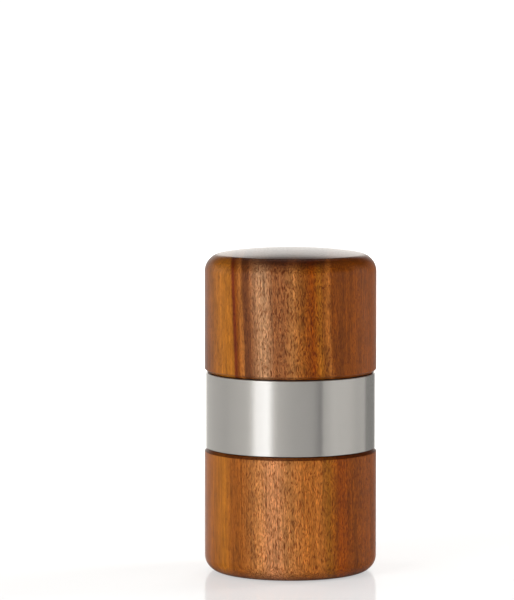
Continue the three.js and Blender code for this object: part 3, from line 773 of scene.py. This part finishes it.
thread_pitch = 0.8
thread_depth = 0.22
thread_flank = 3
thread_rows = 8
screw_steps = 48
small_head = 1.8
large_head = 2.2
head_arris = 0.08
crown_share = 0.55
neck_share = 0.3
recess_width = 0.5
recess_reach = 0.62
recess_taper = 0.6
recess_roof = 0.35
recess_mouth = 2


def screw(name, radius, length, head_radius, head_height, circle, seat):
    """A pan-head screw at a radius on the X axis, pointing up, with its head's seat at a height."""
    tip = length - radius
    neck = neck_share * radius
    rows = round(thread_rows * tip / thread_pitch)
    shank = [Vector((radius, tip * row / rows)) for row in range(rows) if tip * row / rows > neck]
    head = outline([(0, -head_height), (head_radius, -head_height, crown_share * head_height),
                    (head_radius, 0, head_arris), (radius, 0), (radius, neck)])
    point = [Vector((radius - thread_depth, tip)), Vector((0, length))]

    def radius_at(r, z, angle):
        """The shank's radius with its thread, which climbs one pitch each turn."""
        if not thread_pitch / 2 < z < tip - margin:
            return r
        phase = (z / thread_pitch - angle / (2 * math.pi)) % 1
        return r - thread_depth * min(1, thread_flank * abs(phase - 0.5))

    body = turned(name, head + shank + point, screw_steps, radius_at)
    wide = recess_reach * head_radius
    half = recess_width / 2
    cross = [(wide, half), (half, half), (half, wide), (-half, wide), (-half, half), (-wide, half),
             (-wide, -half), (-half, -half), (-half, -wide), (half, -wide), (half, -half), (wide, -half)]
    mouth = [(x, y, -recess_mouth * head_height) for x, y in cross]
    roof = [(x * recess_taper, y * recess_taper, -recess_roof * head_height) for x, y in cross]
    around(body, "DIFFERENCE", skinned("recess", [mouth, roof]), 1, bright_zinc)
    body.data.transform(Matrix.Translation((circle * mm, 0, seat * mm)))
    return body


# Bright zinc on steel: a cool light grey with a faint blue cast and a fine crystalline mottle, drawn
# coarse enough to show.
bright_zinc, tree, place = finish_named("bright_zinc_plate")
mottle_size = (0.5, 0.5, 0.5)
colour = mottled(tree, place, mottle_size, 0.35, 0.65, "#b4b8c0", "#c8c9c6")
rough = grain(tree, place, mottle_size, 3, 0.22, 0.36)
surface = add(tree, "ShaderNodeBsdfPrincipled", {"Base Color": colour, "Metallic": 1.0,
                                                 "Roughness": rough})["BSDF"]
add(tree, "ShaderNodeOutputMaterial", {"Surface": surface})
disc_screws = made("disc_screws_zinc", bmesh.new())
disc_screw_seat = clamp_low.z - seat_gap
disc_screw = screw("disc_screw", disc_screw_radius, screw_high.z - disc_screw_seat, small_head,
                   disc_screw_seat - screw_low.z, disc_screw_circle, disc_screw_seat)
around(disc_screws, "ALONE", disc_screw, disc_screw_count, bright_zinc)
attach(disc_screws, "mill_body")
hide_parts("disc_screw_1", "disc_screw_2", "disc_screw_3")

# Glide washer. A thin ring of white acetal between the housing's shelf and the turning ring, which
# lets the knob turn sweetly under a hard push.

washer_width = 4.2
washer_edge = 0.12
washer_bore = washer_high.x - washer_width
glide_washer = turned("glide_washer_acetal", outline([
    (washer_bore, washer_low.z, washer_edge),
    (washer_high.x, washer_low.z, washer_edge),
    (washer_high.x, washer_high.z, washer_edge),
    (washer_bore, washer_high.z, washer_edge),
]), moulded_steps)

# White acetal: a clean warm white, smooth and a little glossy.
white_acetal = moulded_plastic("moulded_white_acetal", "#e6e3db", 0.28, 0.38, 1.48)
glide_washer.data.materials.append(white_acetal)
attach(glide_washer, "mill_body")
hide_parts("glide_washer")

# Turning ring. The grey moulded ring that the knob stands on: a flange that runs on the washer, a
# shoulder, a neck that the knob slips over, and three lugs that make it turn with the knob.

flange_thickness = 1.6
shoulder_rise = 4.8
neck_wall = 2.4
neck_lead = 0.4
shoulder_width = 1.3
lug_count = 3
lug_width = 6
lug_height = 2
ring_low, ring_high = span("turning_ring")
keeper_low, keeper_high = span("keeper_ring")
cap_low, cap_high = span("knob_cap")
barrel_low, barrel_high = span("knob_barrel")
knob_seal_low, knob_seal_high = span("knob_seal")
skirt_wall = 1.4
skirt_radius = barrel_high.x
skirt_bore = skirt_radius - skirt_wall
neck_radius = skirt_bore - running_gap
neck_bore = neck_radius - neck_wall
shoulder_radius = neck_radius + shoulder_width
shoulder_top = ring_low.z + shoulder_rise
turning_ring = turned("turning_ring_moulded", outline([
    (neck_bore, ring_low.z, moulded_arris),
    (ring_high.x, ring_low.z, moulded_arris),
    (ring_high.x, ring_low.z + flange_thickness, moulded_arris),
    (shoulder_radius, ring_low.z + flange_thickness),
    (shoulder_radius, shoulder_top, moulded_arris),
    (neck_radius, shoulder_top),
    *groove(skirt_bore, (knob_seal_low.z + knob_seal_high.z) / 2),
    (neck_radius, ring_high.z, neck_lead),
    (neck_bore, ring_high.z, moulded_rounding),
]), moulded_steps)
lug = block("lug", neck_radius - neck_wall / 2, shoulder_radius, shoulder_top - lug_height / 2,
            shoulder_top + lug_height, lug_width)
around(turning_ring, "UNION", lug, lug_count, grey_nylon)
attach(turning_ring, "turning_ring")
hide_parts("turning_ring")

# Knob seal. A second rubber ring, round the neck, that grips the knob's skirt until it is pulled off.

knob_seal = moulded_seal("knob_seal_ring", "knob_seal")
knob_seal.data.materials.append(nitrile_rubber)
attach(knob_seal, "turning_ring")
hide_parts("knob_seal")

# Keeper ring. Grey nylon, fixed in the housing over the turning ring's flange, with four slots in its
# face for the spanner that sets it.

spanner_slot_count = 4
spanner_slot_width = 3
spanner_slot_depth = 1.1
keeper_bore = shoulder_radius + running_gap
keeper_ring = turned("keeper_ring_moulded", outline([
    (keeper_bore, keeper_low.z, moulded_arris),
    (keeper_high.x, keeper_low.z, moulded_arris),
    (keeper_high.x, keeper_high.z, moulded_arris),
    (keeper_bore, keeper_high.z, moulded_arris),
]), moulded_steps)
slot = block("slot", keeper_bore - overshoot, keeper_high.x + overshoot, keeper_high.z - spanner_slot_depth,
             keeper_high.z + overshoot, spanner_slot_width)
around(keeper_ring, "DIFFERENCE", slot, spanner_slot_count, grey_nylon, math.pi / spanner_slot_count)
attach(keeper_ring, "mill_body")
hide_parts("keeper_ring")

# Knob cap. Turned from a second blank of the same timber, its crown a shallow dome with a large
# rounded edge; the barrel's skirt is screwed up inside its bore.

crown_fall = 2.1
crown_rounding = 5.2
dome_steps = 24
dome_share = 0.8
cap_screw_count = 3
cap_screw_radius = 1.2
cap_screw_angle = math.pi / cap_screw_count
cap_screw_low, cap_screw_high = span("cap_screw_2")
crown_bottom = barrel_high.z + seat_gap
dome = [(wood_radius * step / dome_steps, cap_high.z - crown_fall * (step / dome_steps) ** 2)
        for step in range(round(dome_steps * dome_share))]
knob_cap = turned("knob_cap_turned", outline([
    *dome,
    (wood_radius, cap_high.z - crown_fall, crown_rounding),
    (wood_radius, cap_low.z + chamfer, arris),
    (wood_radius - chamfer, cap_low.z, arris),
    (wood_bore, cap_low.z, bore_arris),
    (wood_bore, crown_bottom),
    (0, crown_bottom),
]))

# Oiled acacia: the same timber from the heart of the tree, with a dark red-brown seam at the left,
# a pale lively band beside it and a plain brown side. The sand band a little left of the middle is partly a
# painted highlight, where the key light's strip shines on the satin.
knob_acacia = oiled_acacia(
    "oiled_acacia_knob",
    streaks=[(-25, smoke), (-20, honey), (-17, honey), (-16.5, oxblood), (-16, oxblood), (-15.5, walnut),
             (-14.5, russet), (-14, russet), (-13.5, umber), (-12, umber), (-11.5, chestnut), (-9, sand_and_painted_highlight),
             (-7.5, sand_and_painted_highlight), (-5, chestnut), (-2, chestnut), (0.5, tan), (2.5, russet), (4, cinnamon),
             (6.5, rust), (8.5, honey), (9.5, cinnamon), (11, amber), (12, walnut), (25, walnut)],
    figure=[(-25, 0.4), (-18, 0.35), (-12, 0.6), (-8, 0.9), (9, 0.9), (12.5, 0.55), (25, 0.45)],
    least_end_grain_and_shade_share=0.42, middle=(cap_low.z + cap_high.z) / 2, lean=0.03, drift=-9)
cap_screw_circle = math.hypot(cap_screw_low.x + cap_screw_high.x, cap_screw_low.y + cap_screw_high.y) / 2
drilled(knob_cap, knob_acacia, cap_screw_count, cap_screw_circle, cap_screw_radius,
        crown_bottom - overshoot, cap_screw_high.z + fixed_gap, cap_screw_angle)
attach(knob_cap, "knob")
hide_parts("knob_cap")

# Knob barrel. The black moulded insert of the knob: a skirt fixed in the wood and notched for the
# lugs, a ceiling, and the slotted barrel that carries the spice and steers the plunger.

ceiling_thickness = 1.8
pilot_height = 2
slot_width = 4
barrel_radius = barrel_bore + barrel_wall
ceiling_bottom = barrel_high.z - ceiling_thickness
plunger_low, plunger_high = span("plunger")
plunger_top = plunger_high.z - pilot_height
plunger_stroke = 21
pilot_radius = 4.57
knob_barrel = turned("knob_barrel_moulded", outline([
    (barrel_bore, barrel_low.z, moulded_arris),
    (barrel_radius, barrel_low.z, moulded_rounding),
    (barrel_radius, ceiling_bottom, moulded_rounding),
    (skirt_bore, ceiling_bottom, moulded_rounding),
    (skirt_bore, shoulder_top + seat_gap, moulded_arris),
    (skirt_radius, shoulder_top + seat_gap, moulded_arris),
    (skirt_radius, barrel_high.z, moulded_rounding),
    (0, barrel_high.z),
    (0, ceiling_bottom - pilot_height),
    (pilot_radius, ceiling_bottom - pilot_height, moulded_rounding),
    (pilot_radius, ceiling_bottom),
    (barrel_bore, ceiling_bottom),
]), moulded_steps)
slot = block("slot", barrel_bore - overshoot, barrel_radius + overshoot, plunger_low.z - seat_gap,
             plunger_top + plunger_stroke + fixed_gap, slot_width)
around(knob_barrel, "DIFFERENCE", slot, lug_count, black_nylon)
notch = block("notch", skirt_bore - overshoot, skirt_radius + overshoot, shoulder_top - overshoot,
              shoulder_top + lug_height + fixed_gap, lug_width + 2 * fixed_gap)
around(knob_barrel, "DIFFERENCE", notch, lug_count, black_nylon)
drilled(knob_barrel, black_nylon, cap_screw_count, cap_screw_circle, cap_screw_radius,
        ceiling_bottom - overshoot, barrel_high.z + overshoot, cap_screw_angle)
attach(knob_barrel, "knob")
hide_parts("knob_barrel")

# Cap screws. Three zinc-plated wood screws that hold the insert up in the cap, their heads under the
# barrel's ceiling.

cap_screws = made("cap_screws_zinc", bmesh.new())
cap_screw_seat = ceiling_bottom - seat_gap
cap_screw = screw("cap_screw", cap_screw_radius, cap_screw_high.z - cap_screw_seat, large_head,
                  cap_screw_seat - cap_screw_low.z, cap_screw_circle, cap_screw_seat)
around(cap_screws, "ALONE", cap_screw, cap_screw_count, bright_zinc, cap_screw_angle)
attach(cap_screws, "knob")
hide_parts("cap_screw_1", "cap_screw_2", "cap_screw_3")

# Plunger. A white acetal disc with three keys that slide in the barrel's slots, and a pilot that
# centres the spring.

plunger_radius = barrel_bore - running_gap
claw_screw_radius = 1.2
plunger = turned("plunger_acetal", outline([
    (0, plunger_low.z),
    (plunger_radius, plunger_low.z, moulded_rounding),
    (plunger_radius, plunger_top, moulded_rounding),
    (pilot_radius, plunger_top),
    (pilot_radius, plunger_high.z, moulded_rounding),
    (0, plunger_high.z),
]), moulded_steps)
key = block("key", plunger_radius - overshoot, barrel_radius, plunger_low.z, plunger_top,
            slot_width - 2 * fixed_gap)
around(plunger, "UNION", key, lug_count, white_acetal)
drilled(plunger, white_acetal, 1, 0, claw_screw_radius, plunger_low.z - overshoot,
        plunger_high.z + overshoot)
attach(plunger, "plunger")
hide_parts("plunger")

# Claw plate. Blanked from stainless sheet, its five pointed claws bent down over a radius to bite the
# spice and turn it with the barrel.

claw_sheet = 0.6
claw_count = 5
claw_width = 3
claw_shoulder = 1.6
claw_setback = 2.5
claw_bend = 1
claw_blunt = 0.06
bend_steps = 8
point_steps = 12
claw_low, claw_high = span("claw_plate")
claw_circle = plunger_radius - claw_setback
plate_bottom = claw_high.z - claw_sheet
claw_plate = turned("claw_plate_stamped", outline([
    (0, plate_bottom),
    (claw_circle - claw_bend, plate_bottom, sheet_arris),
    (claw_circle - claw_bend, claw_high.z, sheet_arris),
    (0, claw_high.z),
]), moulded_steps)


def claw_strip(name):
    """One claw: flat from the plate, round a bend and down to a pointed tip."""
    bend_centre = Vector((claw_circle - claw_bend, claw_high.z - claw_bend))
    stations = [(Vector((claw_circle - 2 * claw_bend, claw_high.z)), Vector((0, 1)), claw_width / 2)]
    for step in range(bend_steps + 1):
        angle = math.pi / 2 * (1 - step / bend_steps)
        out = Vector((math.cos(angle), math.sin(angle)))
        stations.append((bend_centre + out * claw_bend, out, claw_width / 2))
    shoulder = plate_bottom - claw_shoulder
    for step in range(point_steps + 1):
        share = step / point_steps
        middle = Vector((claw_circle, shoulder + (claw_low.z - shoulder) * share))
        stations.append((middle, Vector((1, 0)), max(claw_width / 2 * math.sqrt(1 - share), claw_blunt)))
    sections = []
    for outer, out, half in stations:
        inner = outer - out * claw_sheet
        sections.append([(outer.x, -half, outer.y), (outer.x, half, outer.y),
                         (inner.x, half, inner.y), (inner.x, -half, inner.y)])
    return skinned(name, sections)


around(claw_plate, "UNION", claw_strip("claw"), claw_count, stainless_sheet)
drilled(claw_plate, stainless_sheet, 1, 0, claw_screw_radius, plate_bottom - overshoot,
        claw_high.z + overshoot)
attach(claw_plate, "plunger")
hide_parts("claw_plate")

# Claw screw. A short zinc-plated screw of the same kind, driven up through the claw plate's middle
# into the plunger.

claw_screw_low, claw_screw_high = span("claw_screw")
claw_screw_seat = plate_bottom - seat_gap
claw_screw = screw("claw_screw_zinc", claw_screw_radius, claw_screw_high.z - claw_screw_seat, large_head,
                   claw_screw_seat - claw_screw_low.z, 0, claw_screw_seat)
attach(claw_screw, "plunger")
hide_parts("claw_screw")

# Pressure spring. Round spring wire wound in open turns with a closed turn at each end. It presses the
# plunger down on the spice, and closes up under the barrel's ceiling as the plunger rises.

spring_wire = 0.8
spring_radius = 5.7
spring_turns = 6
spring_end_gap = 0.5
spring_steps = 48
wire_steps = 14


def wound(name, bottom, top):
    """Round wire wound in open turns between two closed ones, between two heights of its centre line."""
    sections = []
    rise = spring_wire + spring_end_gap
    for step in range((spring_turns + 2) * spring_steps + 1):
        turn = step / spring_steps
        opened = min(max(turn - 1, 0), spring_turns)
        height = bottom + (turn - opened) * rise + opened / spring_turns * (top - bottom - 2 * rise)
        out = Vector((math.cos(2 * math.pi * turn), math.sin(2 * math.pi * turn), 0))
        centre = out * spring_radius + Vector((0, 0, height))
        angles = [2 * math.pi * side / wire_steps for side in range(wire_steps)]
        sections.append([centre + (out * math.cos(a) + Vector((0, 0, math.sin(a)))) * spring_wire / 2
                         for a in angles])
    return skinned(name, sections)


# Drawn spring wire: grey and smooth, with short streaks of darker scale along the wire.
spring_steel, tree, place = finish_named("drawn_spring_wire")
scale_size = (1.2, 1.2, 0.25)
colour = mottled(tree, place, scale_size, 0.4, 0.7, "#b0b2b4", "#84827e")
rough = grain(tree, place, scale_size, 3, 0.2, 0.34)
surface = add(tree, "ShaderNodeBsdfPrincipled", {"Base Color": colour, "Metallic": 1.0,
                                                 "Roughness": rough})["BSDF"]
add(tree, "ShaderNodeOutputMaterial", {"Surface": surface})
pressure_spring = wound("pressure_spring_wound", plunger_top + seat_gap + spring_wire / 2,
                        ceiling_bottom - seat_gap - spring_wire / 2)
pressure_spring.data.materials.append(spring_steel)
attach(pressure_spring, "knob")
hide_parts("pressure_spring")
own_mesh(pressure_spring)

# Floor. A smooth pale sheet that the camera sees as white, with a faint mirror image of what
# stands on it, its shadow, and a painted pool of shade round it.

floor_gap = 0.05 * mm
floor_size = 16
mirror_haze = 0.12
painted_shade_fade_start = 100
painted_shade_fade_end = 400
mirror_share = 0.22
floor_mesh = bmesh.new()
bmesh.ops.create_grid(floor_mesh, x_segments=1, y_segments=1, size=floor_size / 2,
                      matrix=Matrix.Translation((0, 0, -floor_gap)))
floor = made("floor", floor_mesh)

# White acrylic sheet: a bright ground, with a soft shadow and a blurred mirror image near it; the glow that
# the camera sees is dimmed within 400 millimetres of the middle as painted shade.
white_acrylic, tree, place = finish_named("white_acrylic_sheet")
path = add(tree, "ShaderNodeLightPath")
matt = add(tree, "ShaderNodeBsdfDiffuse", {"Color": linear("#bcbcbc")})["BSDF"]
bright = add(tree, "ShaderNodeBsdfDiffuse", {"Color": linear("#f2f2f2")})["BSDF"]
away = add(tree, "ShaderNodeVectorMath", {"Vector": place}, operation="LENGTH")["Value"]
# The camera's glow is weaker near the middle: a painted pool of shade round the piece.
glow_dimmed_as_painted_shade = add(tree, "ShaderNodeMapRange", {"Value": away, "From Min": painted_shade_fade_start, "From Max": painted_shade_fade_end,
                                        "To Min": 0.58, "To Max": 1})["Result"]
lift = add(tree, "ShaderNodeEmission", {"Color": (1, 1, 1, 1), "Strength": glow_dimmed_as_painted_shade})["Emission"]
lifted = add(tree, "ShaderNodeAddShader", {"Shader": matt, "Shader_001": lift})["Shader"]
mirror = add(tree, "ShaderNodeBsdfGlossy", {"Color": (1, 1, 1, 1), "Roughness": mirror_haze})["BSDF"]
seen = add(tree, "ShaderNodeMixShader", {"Fac": mirror_share, "Shader": lifted,
                                         "Shader_001": mirror})["Shader"]
slope = add(tree, "ShaderNodeLayerWeight", {"Blend": 0.5})["Facing"]
sheen = add(tree, "ShaderNodeMapRange", {"Value": slope, "From Min": 0.3, "From Max": 0.75, "To Min": 0.1,
                                         "To Max": 0.88})["Result"]
glossy = add(tree, "ShaderNodeMixShader", {"Fac": sheen, "Shader": bright, "Shader_001": mirror})["Shader"]
other = add(tree, "ShaderNodeMixShader", {"Fac": path["Is Glossy Ray"], "Shader": bright,
                                          "Shader_001": glossy})["Shader"]
surface = add(tree, "ShaderNodeMixShader", {"Fac": path["Is Camera Ray"], "Shader": other,
                                            "Shader_001": seen})["Shader"]
add(tree, "ShaderNodeOutputMaterial", {"Surface": surface})
floor.data.materials.append(white_acrylic)

# Light. A white surround; polished surfaces see it with the flags and the bright strip that stand
# round a metal object in a studio, by their bearing from the camera's side.

world = bpy.data.worlds.new("studio")
bpy.context.scene.world = world
world.use_nodes = True
tree = world.node_tree
tree.nodes.clear()
path = add(tree, "ShaderNodeLightPath")
direction = add(tree, "ShaderNodeSeparateXYZ", {"Vector": add(tree, "ShaderNodeTexCoord")["Generated"]})
back = add(tree, "ShaderNodeMath", {"Value": direction["Y"], "Value_001": -1},
           operation="MULTIPLY")["Value"]
bearing = add(tree, "ShaderNodeMath", {"Value": direction["X"], "Value_001": back},
              operation="ARCTAN2")["Value"]
turn = add(tree, "ShaderNodeMapRange", {"Value": bearing, "From Min": -math.pi,
                                        "From Max": math.pi})["Result"]
brightest = 3.3
panels = [(-180, 1.2), (-168, 1.2), (-160, 0.65), (-100, 0.65), (-63, 0.95), (-55, 1.3), (-49, 2.25),
          (-31, 2.7), (-24, 1.4), (-17, 0.95), (0, 0.75), (30, 0.6), (42, 0.25), (45, 0.75), (60, 1),
          (85, 0.9), (105, 0.65), (120, 0.65), (125, 0.3), (160, 0.2), (169, 1.2), (180, 1.2)]
surround = add(tree, "ShaderNodeValToRGB", {"Fac": turn},
               stops=[(angle / 360 + 0.5, value / brightest) for angle, value in panels])["Color"]
glare = add(tree, "ShaderNodeMapRange", {"Value": surround, "From Min": 1 / brightest,
                                         "From Max": 0.8})["Result"]
warmth = add(tree, "ShaderNodeMix", {"Factor_Float": glare, "A_Color": linear("#fffcf6"),
                                     "B_Color": linear("#ffffff")}, data_type="RGBA")["Result_Color"]
toned = add(tree, "ShaderNodeMix", {"Factor_Float": 1.0, "A_Color": surround, "B_Color": warmth},
            data_type="RGBA", blend_type="MULTIPLY")["Result_Color"]
height = add(tree, "ShaderNodeValToRGB", {"Fac": direction["Z"]},
             stops=[(0.25, 1.0), (0.37, 0.03), (0.5, 0.03), (0.8, 0.2)])["Color"]
strength = add(tree, "ShaderNodeMath", {"Value": height, "Value_001": brightest},
               operation="MULTIPLY")["Value"]
studio = add(tree, "ShaderNodeBackground", {"Color": toned, "Strength": strength})["Background"]
overhead = add(tree, "ShaderNodeMapRange", {"Value": direction["Z"], "From Min": 0.1, "From Max": 0.5,
                                            "To Min": 0.5, "To Max": 0.2})["Result"]
soft = add(tree, "ShaderNodeBackground", {"Color": (1, 1, 1, 1), "Strength": overhead})["Background"]
white = add(tree, "ShaderNodeBackground", {"Color": (1, 1, 1, 1), "Strength": 1})["Background"]
lit = add(tree, "ShaderNodeMixShader", {"Fac": path["Is Glossy Ray"], "Shader": soft,
                                        "Shader_001": studio})["Shader"]
clear = add(tree, "ShaderNodeMath", {"Value": path["Is Camera Ray"],
                                     "Value_001": path["Is Transmission Ray"]},
            operation="MAXIMUM")["Value"]
shown = add(tree, "ShaderNodeMixShader", {"Fac": clear, "Shader": lit, "Shader_001": white})["Shader"]
add(tree, "ShaderNodeOutputWorld", {"Surface": shown})

aim_height = 0.05


def softbox(name, azimuth, elevation, distance, width, height, watts):
    """A soft light that faces the grater, placed by two angles in degrees and seen by matt surfaces."""
    azimuth = math.radians(azimuth)
    elevation = math.radians(elevation)
    light = bpy.data.lights.new(name, "AREA")
    light.shape = "RECTANGLE"
    light.size = width
    light.size_y = height
    light.energy = watts
    lamp = bpy.data.objects.new(name, light)
    bpy.context.scene.collection.objects.link(lamp)
    across = math.cos(elevation)
    bearing = Vector((math.sin(azimuth) * across, -math.cos(azimuth) * across, math.sin(elevation)))
    lamp.location = Vector((0, 0, aim_height)) + bearing * distance
    lamp.rotation_euler = (-bearing).to_track_quat("-Z", "Y").to_euler()
    lamp.visible_camera = False
    lamp.visible_glossy = False


softbox("key", -45, 12, distance=0.9, width=0.45, height=0.7, watts=6.5)
softbox("fill", 65, 10, distance=1.1, width=0.5, height=0.7, watts=2.4)
softbox("right_rim", 112, 14, distance=1.1, width=0.4, height=0.7, watts=8.5)
softbox("left_rim", -112, 14, distance=1.1, width=0.4, height=0.7, watts=4)
softbox("back", 170, 20, distance=1.1, width=0.6, height=0.7, watts=6)

# Camera. Across the table from a little above, with a long lens.

frame_height = 600
focal_pixels = 4144.3
camera_distance = 1.2
camera_height = 0.1911
camera_left = 0.00977
camera_pitch = 0.0930
nearest = 0.05
farthest = 50

camera_data = bpy.data.cameras.new("camera")
camera = bpy.data.objects.new("camera", camera_data)
bpy.context.scene.collection.objects.link(camera)
camera_data.lens = camera_data.sensor_width * focal_pixels / frame_height
camera_data.clip_start = nearest
camera_data.clip_end = farthest
camera.location = (-camera_left, -camera_distance, camera_height)
camera.rotation_euler = (math.pi / 2 - camera_pitch, 0, 0)
bpy.context.scene.camera = camera
bpy.context.scene.view_settings.view_transform = "Standard"
